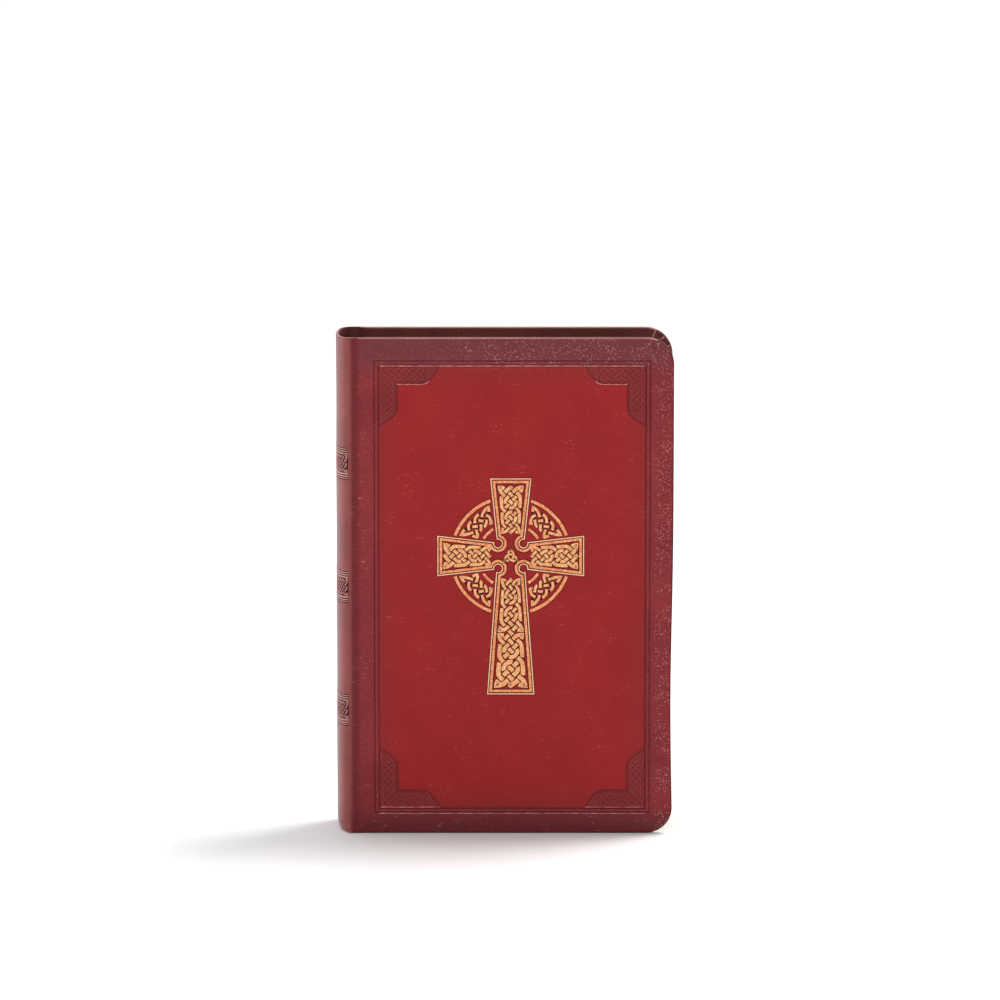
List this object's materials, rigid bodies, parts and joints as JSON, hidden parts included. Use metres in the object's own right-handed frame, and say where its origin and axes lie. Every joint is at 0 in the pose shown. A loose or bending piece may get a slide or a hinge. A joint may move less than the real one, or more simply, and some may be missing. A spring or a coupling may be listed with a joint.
{
  "type": "prayer book",
  "caption": "Small limp leather prayer book with round corners, a stamped double frame, a ringed foil cross, hinged covers and sewn page sections that fan open.",
  "frame": {"origin": "middle of the footprint, on the plane the closed book stands on", "axes": "+Z from tail to head, front cover faces -Y, spine at -X, fore-edge at +X"},
  "size_m": [0.116, 0.028, 0.173],
  "materials": {
    "leather": "burgundy grained leather, satin",
    "spine_leather": "worn burgundy leather, satin",
    "board": "grey millboard, matte",
    "endpaper": "cream endpaper, matte",
    "foil": "copper-gold stamping foil, semi-gloss",
    "pages": "thin cream paper",
    "gauze": "open weave cotton gauze",
    "lining": "kraft paper",
    "band": "woven red and cream thread"
  },
  "bodies": {
    "spine": {"spine_leather": "spine_leather", "spine_inlay": "board", "spine_mull": "gauze", "spine_lining": "lining", "headband": "band", "tailband": "band"},
    "front_cover": {"front_leather": "leather", "front_board": "board", "front_pastedown": "endpaper", "front_foil_cross": "foil"},
    "back_cover": {"back_leather": "leather", "back_board": "board", "back_pastedown": "endpaper"},
    "front_flyleaf": {"front_flyleaf": "endpaper"},
    "back_flyleaf": {"back_flyleaf": "endpaper"},
    "section_01": {"section_01": "pages"},
    "section_02": {"section_02": "pages"},
    "section_03": {"section_03": "pages"},
    "section_04": {"section_04": "pages"},
    "section_05": {"section_05": "pages"},
    "section_06": {"section_06": "pages"},
    "section_07": {"section_07": "pages"},
    "section_08": {"section_08": "pages"},
    "section_09": {"section_09": "pages"},
    "section_10": {"section_10": "pages"},
    "section_11": {"section_11": "pages"},
    "section_12": {"section_12": "pages"}
  },
  "joints": [
    {"name": "front_cover_hinge", "type": "hinge", "parent": "spine", "child": "front_cover", "pos_m": [-0.0532, -0.014, 0.0865], "axis": [0, 0, -1], "range_deg": [0, 170]},
    {"name": "back_cover_hinge", "type": "hinge", "parent": "spine", "child": "back_cover", "pos_m": [-0.0532, 0.014, 0.0865], "axis": [0, 0, 1], "range_deg": [0, 170]},
    {"name": "front_flyleaf_hinge", "type": "hinge", "parent": "spine", "child": "front_flyleaf", "pos_m": [-0.05049, -0.0111, 0.0865], "axis": [0, 0, -1], "range_deg": [0, 100]},
    {"name": "section_01_hinge", "type": "hinge", "parent": "spine", "child": "section_01", "pos_m": [-0.05066, -0.01055, 0.0865], "axis": [0, 0, -1], "range_deg": [0, 49]},
    {"name": "section_02_hinge", "type": "hinge", "parent": "spine", "child": "section_02", "pos_m": [-0.05114, -0.00877, 0.0865], "axis": [0, 0, -1], "range_deg": [0, 42]},
    {"name": "section_03_hinge", "type": "hinge", "parent": "spine", "child": "section_03", "pos_m": [-0.05152, -0.00698, 0.0865], "axis": [0, 0, -1], "range_deg": [0, 35]},
    {"name": "section_04_hinge", "type": "hinge", "parent": "spine", "child": "section_04", "pos_m": [-0.05183, -0.0052, 0.0865], "axis": [0, 0, -1], "range_deg": [0, 29]},
    {"name": "section_05_hinge", "type": "hinge", "parent": "spine", "child": "section_05", "pos_m": [-0.05204, -0.00342, 0.0865], "axis": [0, 0, -1], "range_deg": [0, 20]},
    {"name": "section_06_hinge", "type": "hinge", "parent": "spine", "child": "section_06", "pos_m": [-0.05216, -0.00163, 0.0865], "axis": [0, 0, -1], "range_deg": [0, 10]},
    {"name": "back_flyleaf_hinge", "type": "hinge", "parent": "spine", "child": "back_flyleaf", "pos_m": [-0.05049, 0.0111, 0.0865], "axis": [0, 0, 1], "range_deg": [0, 100]},
    {"name": "section_12_hinge", "type": "hinge", "parent": "spine", "child": "section_12", "pos_m": [-0.05066, 0.01055, 0.0865], "axis": [0, 0, 1], "range_deg": [0, 49]},
    {"name": "section_11_hinge", "type": "hinge", "parent": "spine", "child": "section_11", "pos_m": [-0.05114, 0.00877, 0.0865], "axis": [0, 0, 1], "range_deg": [0, 42]},
    {"name": "section_10_hinge", "type": "hinge", "parent": "spine", "child": "section_10", "pos_m": [-0.05152, 0.00698, 0.0865], "axis": [0, 0, 1], "range_deg": [0, 35]},
    {"name": "section_09_hinge", "type": "hinge", "parent": "spine", "child": "section_09", "pos_m": [-0.05183, 0.0052, 0.0865], "axis": [0, 0, 1], "range_deg": [0, 29]},
    {"name": "section_08_hinge", "type": "hinge", "parent": "spine", "child": "section_08", "pos_m": [-0.05204, 0.00342, 0.0865], "axis": [0, 0, 1], "range_deg": [0, 20]},
    {"name": "section_07_hinge", "type": "hinge", "parent": "spine", "child": "section_07", "pos_m": [-0.05216, 0.00163, 0.0865], "axis": [0, 0, 1], "range_deg": [0, 10]}
  ],
  "couplings": [
    {"joint": "front_flyleaf_hinge", "follows": "front_cover_hinge", "ratio": 0.58823},
    {"joint": "section_01_hinge", "follows": "front_cover_hinge", "ratio": 0.28823},
    {"joint": "section_02_hinge", "follows": "front_cover_hinge", "ratio": 0.24705},
    {"joint": "section_03_hinge", "follows": "front_cover_hinge", "ratio": 0.20588},
    {"joint": "section_04_hinge", "follows": "front_cover_hinge", "ratio": 0.17058},
    {"joint": "section_05_hinge", "follows": "front_cover_hinge", "ratio": 0.11764},
    {"joint": "section_06_hinge", "follows": "front_cover_hinge", "ratio": 0.05882},
    {"joint": "back_flyleaf_hinge", "follows": "back_cover_hinge", "ratio": 0.58823},
    {"joint": "section_12_hinge", "follows": "back_cover_hinge", "ratio": 0.28823},
    {"joint": "section_11_hinge", "follows": "back_cover_hinge", "ratio": 0.24705},
    {"joint": "section_10_hinge", "follows": "back_cover_hinge", "ratio": 0.20588},
    {"joint": "section_09_hinge", "follows": "back_cover_hinge", "ratio": 0.17058},
    {"joint": "section_08_hinge", "follows": "back_cover_hinge", "ratio": 0.11764},
    {"joint": "section_07_hinge", "follows": "back_cover_hinge", "ratio": 0.05882}
  ]
}
